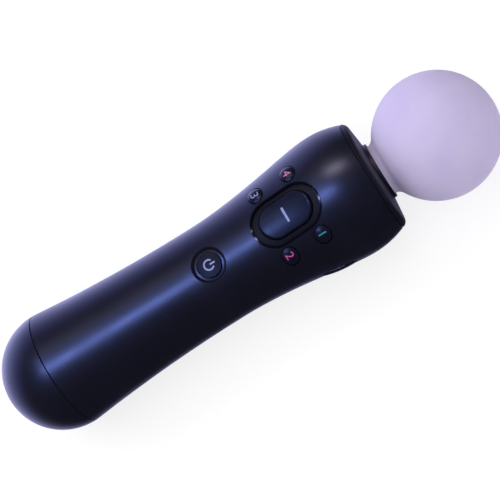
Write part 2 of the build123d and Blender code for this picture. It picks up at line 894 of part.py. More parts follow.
membrane_back_x = home_x - foot_diameter - cut_over
membrane_front_x = face_upper_x + foot_diameter + cut_over
foot_y = face_y - foot_diameter / 2
membrane_width = board_width - 2 * fit_gap
dome_places = [(home_x, 0), main_place] + [(x, y / face_y * foot_y) for x, y in face_places]
dome_inset = membrane_dome_diameter / 2
dome_places = [
    (x, max(-membrane_width / 2 + dome_inset, min(y, membrane_width / 2 - dome_inset)))
    for x, y in dome_places
]
with BuildPart() as keypad_membrane:
    with BuildSketch(level(board_top)):
        with Locations(((membrane_back_x + membrane_front_x) / 2, 0)):
            Rectangle(membrane_front_x - membrane_back_x, membrane_width)
        with Locations(*board_screw_places):
            Circle(small_screw_head_diameter / 2 + slide_gap, mode=Mode.SUBTRACT)
    extrude(amount=membrane_thickness)
    with BuildSketch(level(board_top + membrane_thickness)):
        with Locations(*dome_places):
            Circle(membrane_dome_diameter / 2)
    extrude(amount=membrane_dome_height, taper=20)
save(keypad_membrane, "keypad_membrane")

with BuildPart() as processor_chip:
    with BuildSketch(level(board_bottom)):
        with Locations((main_x - chip_size, 0)):
            Rectangle(chip_size, chip_size)
    extrude(amount=-chip_height)
save(processor_chip, "processor_chip")

with BuildPart() as radio_module:
    with BuildSketch(level(board_bottom)):
        with Locations((main_x + radio_length / 2, 0)):
            Rectangle(radio_length, radio_width)
    extrude(amount=-radio_height)
save(radio_module, "radio_module")

with BuildPart() as motion_sensors:
    with BuildSketch(level(board_bottom)):
        with Locations((home_x, 0), (home_x + 2 * sensor_size, 0)):
            Rectangle(sensor_size, sensor_size)
    extrude(amount=-sensor_height)
save(motion_sensors, "motion_sensors")

with BuildPart() as side_switches:
    with BuildSketch(level(board_bottom)):
        for side in (1, -1):
            with Locations((side_x, side * (board_width - switch_depth) / 2)):
                Rectangle(switch_length, switch_depth)
    extrude(amount=-2 * board_bottom)
    for side in (1, -1):
        with BuildSketch(sideways(side, board_width / 2)):
            with Locations((side_x, 0)):
                Circle(plunger_diameter / 2)
        extrude(amount=plunger_length)
save(side_switches, "side_switches")

with BuildPart() as board_screws:
    with BuildSketch(level(board_top - small_screw_length)):
        with Locations(*board_screw_places):
            Circle(small_screw_diameter / 2)
    extrude(amount=small_screw_length)
    with BuildSketch(level(board_top)):
        with Locations(*board_screw_places):
            Circle(small_screw_head_diameter / 2)
    extrude(amount=small_screw_head_height)
save(board_screws, "board_screws")

# Inner frame with standoffs, spring seat and cable clip
deck_back_x = rear_rib_x - frame_boss_diameter / 2
deck_front_x = front_rib_x + frame_boss_diameter / 2
frame_screw_places = [(rear_rib_x, -deck_width / 3), (front_rib_x, 0)]
cable_height = board_top + cable_socket_height / 2
clip_x = (board_back_x + battery_back_x) / 2
clip_floor = cable_height - cable_thickness / 2 - fit_gap
with BuildPart() as inner_frame:
    with BuildSketch(level(deck_bottom)):
        with Locations(((deck_back_x + deck_front_x) / 2, 0)):
            Rectangle(deck_front_x - deck_back_x, deck_width)
    extrude(amount=deck_thickness)
    with BuildSketch(level(0)):
        with Locations(*board_screw_places):
            Circle(standoff_diameter / 2)
    extrude(amount=board_lift)
    with BuildSketch(level(deck_bottom)):
        with Locations((spring_x, 0)):
            Circle(spring_diameter / 2)
    extrude(amount=-spring_seat_depth - deck_bottom)
    with BuildSketch(level(-spring_seat_depth)):
        with Locations((spring_x, 0)):
            Circle(spring_post_diameter / 2)
    extrude(amount=-spring_post_length)
    with BuildSketch(level(0)):
        with Locations((clip_x, 0)):
            Rectangle(clip_length, cable_width + 2 * clip_ear + 2 * fit_gap)
    extrude(amount=cable_height)
    with BuildSketch(level(clip_floor)):
        with Locations((clip_x, 0)):
            Rectangle(clip_length, cable_width + 2 * fit_gap)
    extrude(amount=cable_height, mode=Mode.SUBTRACT)
    with BuildSketch(level(0)):
        with Locations((clip_x, 0)):
            Rectangle(clip_length, 2 * motor_wire_spacing + 2 * fit_gap)
    extrude(amount=wire_height + motor_wire_diameter, mode=Mode.SUBTRACT)
    with BuildSketch(level(-spring_floor_depth)):
        with Locations(*board_screw_places):
            Circle(small_screw_diameter / 2)
    extrude(amount=head_diameter, mode=Mode.SUBTRACT)
    with BuildSketch(level(deck_bottom)):
        with Locations(*frame_screw_places):
            Circle(small_screw_diameter / 2 + fit_gap)
        with Locations(reset_place):
            Circle(reset_diameter / 2 + slide_gap)
    extrude(amount=deck_thickness, mode=Mode.SUBTRACT)
save(inner_frame, "inner_frame")

with BuildPart() as frame_screws:
    with BuildSketch(level(-small_screw_length)):
        with Locations(*frame_screw_places):
            Circle(small_screw_diameter / 2)
    extrude(amount=small_screw_length)
    with BuildSketch(level(0)):
        with Locations(*frame_screw_places):
            Circle(small_screw_head_diameter / 2)
    extrude(amount=small_screw_head_height)
save(frame_screws, "frame_screws")

# Ribs and posts of the shells
def gate(x):
    """Wall down from the upper shell that clasps the motor's boot and lets the cable through."""
    with BuildPart() as wall:
        with BuildSketch(across(x - rib_thickness / 2)):
            Rectangle(head_diameter, head_diameter, align=(Align.CENTER, Align.MIN))
            with Locations((0, -motor_sink)):
                Circle(motor_radius + motor_boot_wall, mode=Mode.SUBTRACT)
            Rectangle(cable_width + 2 * clip_ear, 2 * (cable_height + cable_thickness), mode=Mode.SUBTRACT)
        extrude(amount=rib_thickness)
        add(wall_core, mode=Mode.INTERSECT)
    return wall.part


def pillars(places, diameter, bottom, top):
    """Round posts between two heights, ending inside the shell's wall."""
    with BuildPart() as posts:
        with BuildSketch(level(bottom)):
            with Locations(*places):
                Circle(diameter / 2)
        extrude(amount=top - bottom)
        add(wall_core, mode=Mode.INTERSECT)
    return posts.part


def lug(side):
    """Ear beside the trigger that holds one end of its pin."""
    with BuildPart() as ear:
        with BuildSketch(sideways(side, lug_face)):
            with Locations((pin_x, side * pin_depth)):
                Circle(hub_radius)
            with Locations((pin_x, side * (pin_depth + hub_radius))):
                Rectangle(2 * hub_radius, 2 * hub_radius)
        extrude(amount=lug_thickness)
        add(wall_core, mode=Mode.INTERSECT)
    return ear.part


def side_openings():
    """Long holes for start and select, half in each shell."""
    with BuildPart() as holes:
        for side in (1, -1):
            with BuildSketch(sideways(side, 0)):
                with Locations((side_x, 0)):
                    SlotOverall(side_button_length + 2 * slide_gap, side_button_height + 2 * slide_gap)
            extrude(amount=head_diameter)
    return holes.part


saddle_places = (boot_x + rib_thickness, boot_x + motor_boot_length - rib_thickness)
gates = [gate(x) for x in saddle_places]
upper_posts = pillars(post_places, post_diameter, 0, head_diameter)
side_holes = side_openings()
home_floor = prism(
    level(0), (home_x, 0), 0, home_recess_diameter, wand_space(home_recess_depth), inner_space
)

# Upper shell
with BuildPart() as upper_shell:
    add(half_shell(Keep.TOP))
    with BuildSketch(level(0)):
        with Locations((home_x, 0)):
            Circle(home_recess_diameter / 2)
    extrude(amount=head_diameter, mode=Mode.SUBTRACT)
    add(home_floor)
    rim_edges = upper_shell.edges().filter_by(
        lambda edge: abs(edge.center().X - home_x) < home_recess_diameter / 2
        and edge.length > home_recess_diameter
        and edge.bounding_box().max.Z > axis_z + home_surface - home_recess_depth / 2
    )
    chamfer(rim_edges, length=home_recess_chamfer)
    with BuildSketch(level(0)):
        with Locations((home_x, 0)):
            Circle(home_radius + slide_gap)
        with Locations(main_place):
            SlotOverall(recess_length + 2 * fit_gap, recess_width + 2 * fit_gap)
        with Locations(*face_places):
            Circle(face_hole_diameter / 2)
    extrude(amount=head_diameter, mode=Mode.SUBTRACT)
    for wall in gates:
        add(wall)
    add(upper_posts)
    with BuildSketch(level(0)):
        with Locations(*post_places):
            Circle(screw_diameter / 2)
    extrude(amount=screw_length, mode=Mode.SUBTRACT)
    add(side_holes, mode=Mode.SUBTRACT)
save(upper_shell, "upper_shell")

# Lower shell
battery_rib_places = (battery_back_x + battery_length / 4, battery_front_x - battery_length / 4)
mid_rib_x = (battery_front_x + reset_x - reset_flange_diameter / 2) / 2
frame_rib_places = (rear_rib_x, front_rib_x)
lower_posts = pillars(post_places, post_diameter, -head_diameter, 0)
frame_posts = pillars(frame_screw_places, frame_boss_diameter, -head_diameter, deck_bottom)
reset_tube = pillars(
    [reset_place], reset_diameter + 2 * slide_gap + 2 * reset_tube_wall, -head_diameter, -reset_tube_depth
)
saddles = [rib(x, -motor_sink, hollow=motor_radius + motor_boot_wall) for x in saddle_places]
battery_ribs = [rib(x, battery_bottom) for x in battery_rib_places]
frame_ribs = [rib(x, deck_bottom) for x in frame_rib_places]
mid_rib = rib(mid_rib_x, deck_bottom, width=mid_rib_width)
lugs = [lug(side) for side in (1, -1)]
screw_seat_heights = {
    place: -sqrt(body_radius(place[0]) ** 2 - place[1] ** 2) + screw_sink for place in post_places
}
slot_front_x = pin_x + sqrt(trigger_reach**2 - (body_radius(lip_x, shell_wall) - pin_depth) ** 2) + slide_gap
slot_back_x = heel_x - slide_gap

with BuildPart() as lower_shell:
    add(half_shell(Keep.BOTTOM))
    with BuildSketch(level(0)):
        with Locations(((slot_front_x + slot_back_x) / 2, 0)):
            Rectangle(slot_front_x - slot_back_x, trigger_width + 2 * slide_gap)
    extrude(amount=-head_diameter, mode=Mode.SUBTRACT)
    for wall in saddles + battery_ribs + frame_ribs + lugs + [mid_rib]:
        add(wall)
    add(lower_posts)
    add(frame_posts)
    add(reset_tube)
    with BuildSketch(side_plane):
        with Locations(pin_place):
            Circle(pin_diameter / 2 + pin_gap / 2)
    extrude(amount=lug_face + lug_thickness, both=True, mode=Mode.SUBTRACT)
    with BuildSketch(level(0)):
        with Locations(*post_places):
            Circle(screw_diameter / 2 + fit_gap)
        with Locations(reset_place):
            Circle(reset_diameter / 2 + slide_gap)
    extrude(amount=-head_diameter, mode=Mode.SUBTRACT)
    with BuildSketch(level(deck_bottom)):
        with Locations(*frame_screw_places):
            Circle(small_screw_diameter / 2)
    extrude(amount=-small_screw_length, mode=Mode.SUBTRACT)
    for place, height in screw_seat_heights.items():
        with BuildSketch(level(height)):
            with Locations(place):
                Circle(screw_head_diameter / 2 + fit_gap)
        extrude(amount=-head_diameter, mode=Mode.SUBTRACT)
    add(side_holes, mode=Mode.SUBTRACT)
save(lower_shell, "lower_shell")

with BuildPart() as shell_screws:
    for place, height in screw_seat_heights.items():
        with BuildSketch(level(height)):
            with Locations(place):
                Circle(screw_diameter / 2)
        extrude(amount=-height + screw_length - cut_over)
        with BuildSketch(level(height)):
            with Locations(place):
                Circle(screw_head_diameter / 2)
                RegularPolygon(screw_diameter / 2, 6, mode=Mode.SUBTRACT)
        extrude(amount=-screw_head_height)
save(shell_screws, "shell_screws")

# Tail cap, with posts for its board and openings for the sockets
usb_place = (0, -usb_drop)
extension_place = (0, extension_rise)
contact_places = [(side * contact_side, -usb_drop) for side in (1, -1)]
tail_screw_places = [(side * tail_post_side, 0) for side in (1, -1)]
bar_x = tail_x + strap_bar_from_tail
bar_depth = body_radius(bar_x) - strap_bar_depth
spigot_outer = wand_space(shell_wall + fit_gap)
spigot_inner = wand_space(shell_wall + fit_gap + cap_spigot_wall)

with BuildPart() as cap_spigot:
    add(spigot_outer)
    add(spigot_inner, mode=Mode.SUBTRACT)
    split(bisect_by=across(tail_seam_x - cut_over), keep=Keep.TOP)
    split(bisect_by=across(tail_seam_x + cap_spigot_length), keep=Keep.BOTTOM)

with BuildPart() as cap_collar:
    add(inner_space)
    add(spigot_inner, mode=Mode.SUBTRACT)
    split(bisect_by=across(tail_seam_x - 2 * cut_over), keep=Keep.TOP)
    split(bisect_by=across(tail_seam_x), keep=Keep.BOTTOM)

with BuildPart() as tail_posts:
    with BuildSketch(across(tail_x)):
        with Locations(*tail_screw_places):
            Circle(tail_post_diameter / 2)
    extrude(amount=tail_board_depth)
    add(wall_core, mode=Mode.INTERSECT)

strap_opening = strap_bar_diameter + 2 * strap_gap
pocket_space = wand_space(strap_pocket_depth + strap_pocket_wall)
with BuildPart() as strap_pocket:
    with BuildSketch(level(0)):
        with Locations((bar_x, 0)):
            Rectangle(strap_opening + 2 * strap_pocket_wall, strap_slot_width + 2 * strap_pocket_wall)
    extrude(amount=-head_diameter)
    add(wall_core, mode=Mode.INTERSECT)
    add(pocket_space, mode=Mode.SUBTRACT)

with BuildPart() as strap_hollow:
    with BuildSketch(level(0)):
        with Locations((bar_x, 0)):
            RectangleRounded(strap_opening, strap_slot_width, strap_pocket_wall / 2)
    extrude(amount=-head_diameter)
    add(wand_space(strap_pocket_depth), mode=Mode.SUBTRACT)

with BuildPart() as tail_cap:
    add(outer_space)
    add(inner_space, mode=Mode.SUBTRACT)
    split(bisect_by=across(tail_seam_x), keep=Keep.BOTTOM)
    add(tail_groove, mode=Mode.SUBTRACT)
    add(cap_collar.part)
    add(cap_spigot.part)
    add(tail_posts.part)
    add(strap_pocket.part)
    add(strap_hollow.part, mode=Mode.SUBTRACT)
    with BuildSketch(sideways(1, 0)):
        with Locations((bar_x, bar_depth)):
            Circle(strap_stub_diameter / 2 + pin_gap / 2)
    extrude(amount=strap_slot_width / 2 + strap_pocket_wall / 2, both=True, mode=Mode.SUBTRACT)
    with BuildSketch(across(tail_board_x - small_screw_length)):
        with Locations(*tail_screw_places):
            Circle(small_screw_diameter / 2)
    extrude(amount=small_screw_length, mode=Mode.SUBTRACT)
    with BuildSketch(across(tail_x - cut_over)):
        with Locations(usb_place):
            Rectangle(usb_width + 2 * fit_gap, usb_height + 2 * fit_gap)
        with Locations(extension_place):
            Rectangle(extension_width + 2 * fit_gap, extension_height + 2 * fit_gap)
        with Locations(*contact_places):
            Circle(contact_diameter / 2 + fit_gap)
    extrude(amount=tail_board_depth, mode=Mode.SUBTRACT)
save(tail_cap, "tail_cap")

with BuildPart() as strap_bar:
    with BuildSketch(sideways(1, 0)):
        with Locations((bar_x, bar_depth)):
            Circle(strap_stub_diameter / 2)
    extrude(amount=strap_slot_width / 2 + strap_pocket_wall / 2, both=True)
    with BuildSketch(sideways(1, 0)):
        with Locations((bar_x, bar_depth)):
            Circle(strap_bar_diameter / 2)
    extrude(amount=strap_slot_width / 2 - fit_gap, both=True)
save(strap_bar, "strap_bar")

with BuildPart() as tail_board:
    with BuildSketch(across(tail_board_x)):
        Circle(tail_board_diameter / 2)
        with Locations(*tail_screw_places):
            Circle(small_screw_diameter / 2 + fit_gap, mode=Mode.SUBTRACT)
    extrude(amount=tail_board_thickness)
save(tail_board, "tail_board")

with BuildPart() as tail_board_screws:
    with BuildSketch(across(tail_board_x + tail_board_thickness - small_screw_length)):
        with Locations(*tail_screw_places):
            Circle(small_screw_diameter / 2)
    extrude(amount=small_screw_length)
    with BuildSketch(across(tail_board_x + tail_board_thickness)):
        with Locations(*tail_screw_places):
            Circle(small_screw_head_diameter / 2)
    extrude(amount=small_screw_head_height)
save(tail_board_screws, "tail_board_screws")


def socket(place, width, height, wall):
    """Open socket on the tail board, its mouth just inside the cap, with a contact tongue."""
    reach = hypot(width / 2, abs(place[1]) + height / 2)
    mouth_x = dome_x - sqrt(tail_radius**2 - reach**2) + socket_sink
    depth = tail_board_x - mouth_x
    with BuildPart() as piece:
        with BuildSketch(across(mouth_x)):
            with Locations(place):
                RectangleRounded(width, height, wall)
        extrude(amount=depth)
        with BuildSketch(across(mouth_x)):
            with Locations(place):
                Rectangle(width - 2 * wall, height - 2 * wall)
                Rectangle(
                    (width - 2 * wall) * (1 - tongue_share / 2), (height - 2 * wall) * tongue_share,
                    mode=Mode.SUBTRACT,
                )
        extrude(amount=depth - wall, mode=Mode.SUBTRACT)
    return piece


save(socket(usb_place, usb_width, usb_height, usb_wall), "usb_socket")
save(socket(extension_place, extension_width, extension_height, extension_wall), "extension_socket")

contact_x = dome_x - sqrt(tail_radius**2 - (contact_side + contact_diameter / 2) ** 2 - usb_drop**2)
with BuildPart() as charging_contacts:
    with BuildSketch(across(contact_x)):
        with Locations(*contact_places):
            Circle(contact_diameter / 2)
    extrude(amount=tail_board_x - contact_x)
save(charging_contacts, "charging_contacts")

# Cable between the boards, with its two sockets
tail_face_x = tail_board_x + tail_board_thickness
with BuildPart() as cable_sockets:
    with BuildSketch(across(tail_face_x)):
        with Locations((0, cable_height)):
            Rectangle(cable_socket_width, cable_socket_height)
    extrude(amount=cable_socket_length)
    with BuildSketch(level(board_top)):
        with Locations((board_back_x, 0)):
            Rectangle(cable_socket_length, cable_socket_width, align=(Align.MIN, Align.CENTER))
    extrude(amount=cable_socket_height)
save(cable_sockets, "cable_sockets")

with BuildPart() as tail_cable:
    with BuildSketch(across(tail_face_x + cable_socket_length)):
        with Locations((0, cable_height)):
            SlotOverall(cable_width, cable_thickness)
    extrude(amount=board_back_x - tail_face_x - cable_socket_length)
save(tail_cable, "tail_cable")

# Collar ring
collar_corner_x = seam_x + collar_length * collar_edge_share
seam_radius = seam_diameter / 2
collar_corner_radius = seam_radius - collar_corner_drop
collar_bore = neck_radius + collar_gap
collar_bend = (
    (seam_x + collar_corner_x) / 2 + collar_length * collar_edge_share / 8,
    (seam_radius + collar_corner_radius) / 2 + collar_corner_drop / 6,
)
collar_lip_x = collar_front_x + collar_lip_over
collar_lip_radius = collar_bore + collar_lip_wall
lamp_back_x = seam_x - lamp_flange_thickness
spigot_radius = body_radius(seam_x, shell_wall + fit_gap)
with BuildPart() as collar_ring:
    with BuildSketch(side_plane) as collar_outline:
        with BuildLine():
            ThreePointArc((seam_x, seam_radius), collar_bend, (collar_corner_x, collar_corner_radius))
            Polyline(
                (collar_corner_x, collar_corner_radius),
                (collar_lip_x - collar_lip_length, collar_lip_radius),
                (collar_lip_x, collar_lip_radius),
                (collar_lip_x, collar_bore),
                (seam_x, collar_bore),
                (seam_x, seam_radius),
            )
        make_face()
        fillet(collar_outline.vertices().group_by(Axis.X)[-1], radius=collar_lip_fillet)
        with Locations((seam_x, spigot_radius)):
            Rectangle(collar_spigot_length, collar_spigot_wall, align=(Align.MAX, Align.MAX))
    revolve(axis=wand_axis)
    add(collar_groove, mode=Mode.SUBTRACT)
    with BuildSketch(across(seam_x)):
        with PolarLocations(lamp_screw_radius, 2):
            Circle(small_screw_diameter / 2)
    extrude(amount=(collar_front_x - seam_x) / 2 + fit_gap, mode=Mode.SUBTRACT)
save(collar_ring, "collar_ring")

# Ball with its neck
with BuildPart() as diffuser_sphere:
    with BuildSketch(side_plane) as ball_outline:
        with Locations((sphere_x, 0)):
            Circle(sphere_diameter / 2)
        with Locations((seam_x, 0)):
            Rectangle(sphere_x - seam_x, neck_diameter, align=(Align.MIN, Align.CENTER))
        fillet(ball_outline.vertices().group_by(Axis.X)[1], radius=neck_fillet)
        with Locations((sphere_x, 0)):
            Circle(sphere_diameter / 2 - sphere_wall, mode=Mode.SUBTRACT)
        with Locations((seam_x, 0)):
            Rectangle(
                sphere_x - seam_x, neck_diameter - 2 * neck_wall,
                align=(Align.MIN, Align.CENTER), mode=Mode.SUBTRACT,
            )
            Rectangle(wand_length, sphere_diameter, align=(Align.MIN, Align.MAX), mode=Mode.SUBTRACT)
    revolve(axis=wand_axis)
save(diffuser_sphere, "diffuser_sphere")

# Lamp holder, light board, lens and flexible lead
tube_radius = neck_radius - neck_wall - fit_gap
lamp_bore = tube_radius - lamp_tube_wall
led_board_x = seam_x - led_board_thickness
tube_end_x = seam_x + lamp_tube_length
with BuildPart() as lamp_holder:
    with BuildSketch(across(lamp_back_x)):
        Circle(lamp_flange_diameter / 2)
    extrude(amount=lamp_flange_thickness)
    with BuildSketch(across(seam_x)):
        Circle(tube_radius)
    extrude(amount=lamp_tube_length)
    with BuildSketch(across(lamp_back_x)):
        Circle(lamp_bore)
    extrude(amount=lamp_flange_thickness, mode=Mode.SUBTRACT)
    with BuildSketch(across(seam_x)):
        Circle(lamp_bore - lamp_step)
    extrude(amount=lamp_tube_length, mode=Mode.SUBTRACT)
    with BuildSketch(across(tube_end_x - lens_thickness)):
        Circle(tube_radius - lens_seat)
    extrude(amount=lens_thickness, mode=Mode.SUBTRACT)
    with BuildSketch(across(lamp_back_x)):
        with PolarLocations(lamp_screw_radius, 2):
            Circle(small_screw_diameter / 2 + fit_gap)
    extrude(amount=lamp_flange_thickness, mode=Mode.SUBTRACT)
save(lamp_holder, "lamp_holder")

with BuildPart() as led_board:
    with BuildSketch(across(led_board_x)):
        Circle(lamp_bore - fit_gap)
    extrude(amount=led_board_thickness)
save(led_board, "led_board")

with BuildPart() as rgb_led:
    with BuildSketch(across(seam_x)):
        RectangleRounded(led_size, led_size, led_height / 4)
    extrude(amount=led_height)
save(rgb_led, "rgb_led")

lens_radius = tube_radius - lens_seat - fit_gap
lens_x = tube_end_x - lens_thickness
with BuildPart() as lamp_lens:
    with BuildSketch(side_plane):
        with BuildLine():
            ThreePointArc(
                (tube_end_x, lens_radius), (tube_end_x + lens_crown, 0), (tube_end_x, -lens_radius)
            )
            Polyline(
                (tube_end_x, -lens_radius),
                (lens_x, -lens_radius),
                (lens_x, lens_radius),
                (tube_end_x, lens_radius),
            )
        make_face()
        with Locations((lens_x, 0)):
            Rectangle(lens_radius, lens_radius, align=(Align.MIN, Align.MAX), mode=Mode.SUBTRACT)
    revolve(axis=wand_axis)
save(lamp_lens, "lamp_lens")

lamp_screw_reach = (collar_front_x - seam_x) / 2
with BuildPart() as lamp_screws:
    with BuildSketch(across(lamp_back_x)):
        with PolarLocations(lamp_screw_radius, 2):
            Circle(small_screw_diameter / 2)
    extrude(amount=lamp_flange_thickness + lamp_screw_reach)
    with BuildSketch(across(lamp_back_x)):
        with PolarLocations(lamp_screw_radius, 2):
            Circle(small_screw_head_diameter / 2)
    extrude(amount=-small_screw_head_height)
save(lamp_screws, "lamp_screws")

flex_socket_front_x = board_front_x - flex_socket_margin
flex_socket_width = 2 * (board_screw_side - small_screw_head_diameter / 2 - flex_socket_gap)
with BuildPart() as flex_socket:
    with BuildSketch(level(board_top)):
        with Locations((flex_socket_front_x, 0)):
            Rectangle(flex_socket_length, flex_socket_width, align=(Align.MAX, Align.CENTER))
    extrude(amount=flex_socket_height)
save(flex_socket, "flex_socket")

flex_height = board_top + flex_socket_height / 2
flex_x = (flex_socket_front_x + led_board_x) / 2
with BuildPart() as led_flex:
    with BuildSketch(side_plane):
        with BuildLine():
            ThreePointArc(
                (flex_socket_front_x, flex_height),
                (flex_x, flex_height + flex_rise),
                (led_board_x, flex_height),
            )
            Line((led_board_x, flex_height), (led_board_x, flex_height + flex_thickness))
            ThreePointArc(
                (led_board_x, flex_height + flex_thickness),
                (flex_x, flex_height + flex_rise + flex_thickness),
                (flex_socket_front_x, flex_height + flex_thickness),
            )
            Line((flex_socket_front_x, flex_height + flex_thickness), (flex_socket_front_x, flex_height))
        make_face()
    extrude(amount=flex_socket_width / 2 - flex_margin, both=True)
save(led_flex, "led_flex")
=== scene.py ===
import json
from math import atan2, cos, pi, radians, sin

import bpy
from mathutils import Matrix, Vector


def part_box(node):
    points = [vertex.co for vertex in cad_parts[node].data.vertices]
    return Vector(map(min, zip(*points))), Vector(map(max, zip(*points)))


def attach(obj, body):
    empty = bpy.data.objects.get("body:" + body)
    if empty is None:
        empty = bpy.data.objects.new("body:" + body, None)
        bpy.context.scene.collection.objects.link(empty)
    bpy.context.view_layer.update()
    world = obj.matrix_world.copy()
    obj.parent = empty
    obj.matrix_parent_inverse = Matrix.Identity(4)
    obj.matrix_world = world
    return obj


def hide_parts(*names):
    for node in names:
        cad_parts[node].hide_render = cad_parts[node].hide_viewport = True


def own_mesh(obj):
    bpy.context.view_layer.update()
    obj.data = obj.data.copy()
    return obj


# A motion controller wand lying on a pale floor, buttons up, its ball towards +X.
# Every length is in metres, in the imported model's own frame.
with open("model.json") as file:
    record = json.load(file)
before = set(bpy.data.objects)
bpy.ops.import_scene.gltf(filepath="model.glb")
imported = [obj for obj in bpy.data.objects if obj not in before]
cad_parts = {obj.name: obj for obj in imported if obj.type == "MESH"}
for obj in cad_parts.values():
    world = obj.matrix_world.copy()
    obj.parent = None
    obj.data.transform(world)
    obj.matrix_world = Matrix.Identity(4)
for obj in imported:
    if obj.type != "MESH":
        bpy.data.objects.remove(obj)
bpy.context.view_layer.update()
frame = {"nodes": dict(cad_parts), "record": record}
nodes = frame["nodes"]
MM = 0.001
SMOOTH_ANGLE = radians(40)

# Printed marks
MARK_CELL = 0.3 * MM
MARK_START = 1.0 * MM
MARK_MERGE = 0.02 * MM
MARK_LIFT = 0.02 * MM
MARK_THICKNESS = 0.05 * MM
NUMBER_HEIGHT = 4.2 * MM
BAR_LENGTH = 5.6 * MM
BAR_WIDTH = 0.8 * MM
BAR_ROUNDING = 0.49 * BAR_WIDTH
STANDBY_RADIUS = 2.0 * MM
STANDBY_STROKE = 0.55 * MM
STANDBY_OPENING = radians(80)
STANDBY_STROKE_MIDDLE = 1.35 * MM
STANDBY_STROKE_LENGTH = 2.0 * MM
STANDBY_SIDES = 72

# Polished rim of the moat, measured in from the outer edge of its lip
RIM_INSIDE = 1.1 * MM
RIM_BLEND = 0.3 * MM

# Foam pad on the battery
PAD_CORNER = 1.2 * MM
PAD_RIM = 0.3 * MM
PAD_CORNER_FACES = 6
PAD_RIM_FACES = 4

# Coil that pushes the trigger out
SPRING_WIRE = 0.5 * MM
SPRING_TURNS = 5
SPRING_STEPS = 28
SPRING_SIDES = 12

# Pins in the two sockets, partly as shares of the socket, the pitch and the thickness
USB_PINS = 5
USB_WALL = 0.4 * MM
EXTENSION_PINS = 8
EXTENSION_WALL = 0.9 * MM
TONGUE_SHARE = 0.4
PIN_SETBACK = 0.3 * MM
PIN_REACH = 4.0 * MM
PIN_THICKNESS = 0.16 * MM
PIN_WIDTH_SHARE = 0.55
PIN_END_SHARE = 0.4
PIN_PROUD_SHARE = 0.3
PIN_EDGE_SHARE = 0.25

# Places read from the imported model
ball_low, ball_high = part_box("diffuser_sphere")
axis_height = (ball_low.z + ball_high.z) / 2
ball_radius = (ball_high.z - ball_low.z) / 2
ball_centre = Vector((ball_high.x - ball_radius, 0, axis_height))


# Camera, floor and lights
def make_camera():
    """Camera over the wand, turned so that the wand runs up from lower left to upper right."""
    distance, lean, turn = 0.540, radians(12.2), radians(32.01)
    lens, sensor = 112.08, 36.0
    aim = Vector((1.608 * MM, 0.586 * MM, axis_height + 0.127 * MM))
    place = ball_centre + distance * Vector((0, -sin(lean), cos(lean)))
    forward = (aim - place).normalized()
    along = Vector((1, 0, 0))
    along = (along - along.dot(forward) * forward).normalized()
    over = forward.cross(along)
    right = cos(turn) * along + sin(turn) * over
    up = sin(turn) * along - cos(turn) * over
    data = bpy.data.cameras.new("camera")
    data.lens, data.sensor_width = lens, sensor
    data.clip_start, data.clip_end = 0.01, 20
    camera = bpy.data.objects.new("camera", data)
    bpy.context.scene.collection.objects.link(camera)
    facing = Matrix((right, up, -forward)).transposed().to_4x4()
    camera.matrix_world = Matrix.Translation(place) @ facing
    bpy.context.scene.camera = camera


def deselect():
    """Nothing is selected, so that an operator acts only on what is added next."""
    if bpy.context.object and bpy.context.object.mode != "OBJECT":
        bpy.ops.object.mode_set(mode="OBJECT")
    bpy.ops.object.select_all(action="DESELECT")


def make_floor():
    """Plain pale floor under the wand."""
    deselect()
    bpy.ops.mesh.primitive_plane_add(size=8, location=(0, 0, 0))
    floor = bpy.context.object
    floor.name = "floor"
    floor.data.materials.append(pale_floor())
    floor.visible_glossy = False


def area_light(name, place, size, power, colour=(1, 1, 1), mirrored=True, lighting=True):
    """Soft rectangular light that faces the wand, and can be kept for gloss or for matt light alone."""
    data = bpy.data.lights.new(name, "AREA")
    data.shape = "RECTANGLE"
    data.size, data.size_y = size
    data.energy, data.color = power, colour
    light = bpy.data.objects.new(name, data)
    bpy.context.scene.collection.objects.link(light)
    facing = (Vector((0, 0, axis_height)) - Vector(place)).normalized()
    side = (Vector((1, 0, 0)) - facing.x * facing).normalized()
    turned = Matrix((side, (-facing).cross(side), -facing)).transposed().to_4x4()
    light.matrix_world = Matrix.Translation(place) @ turned
    light.visible_glossy = mirrored
    light.visible_diffuse = lighting


def make_lights():
    """A strip and two lamps for the gloss, and broad matt light that leaves no mark on it."""
    area_light("strip", (-0.20, 0.06, 0.95), (0.38, 0.07), 5.7, (0.70, 0.78, 1.0), lighting=False)
    area_light("warm_lamp", (0.20, 0.52, 0.80), (0.34, 0.14), 5.0, (1.0, 0.72, 0.42), lighting=False)
    area_light("point_lamp", (-0.34, 0.35, 0.87), (0.03, 0.03), 0.6, lighting=False)
    area_light("ceiling", (-0.10, 0.10, 1.15), (1.5, 1.5), 14.0, mirrored=False)
    area_light("left_softbox", (-0.60, 0.75, 0.70), (0.8, 0.8), 4.6, mirrored=False)
    area_light("right_softbox", (0.70, -0.70, 0.45), (0.8, 0.6), 3.4, mirrored=False)


def make_surroundings():
    """Pale room on the far left, below the horizon too, that fades to dark on the near right."""
    world = bpy.data.worlds.new("studio")
    world.use_nodes = True
    tree = world.node_tree
    place = tree.nodes.new("ShaderNodeTexCoord")
    towards = tree.nodes.new("ShaderNodeVectorMath")
    towards.operation = "DOT_PRODUCT"
    towards.inputs[1].default_value = Vector((-0.62, 0.62, -0.62)).normalized()
    fade = tree.nodes.new("ShaderNodeMapRange")
    fade.inputs["From Min"].default_value = 0.40
    fade.inputs["From Max"].default_value = 1.0
    fade.inputs["To Min"].default_value = 0.04
    fade.inputs["To Max"].default_value = 2.9
    background = tree.nodes["Background"]
    background.inputs["Color"].default_value = (0.58, 0.58, 1.0, 1)
    tree.links.new(place.outputs["Generated"], towards.inputs[0])
    tree.links.new(towards.outputs["Value"], fade.inputs["Value"])
    tree.links.new(fade.outputs["Result"], background.inputs["Strength"])
    bpy.context.scene.world = world


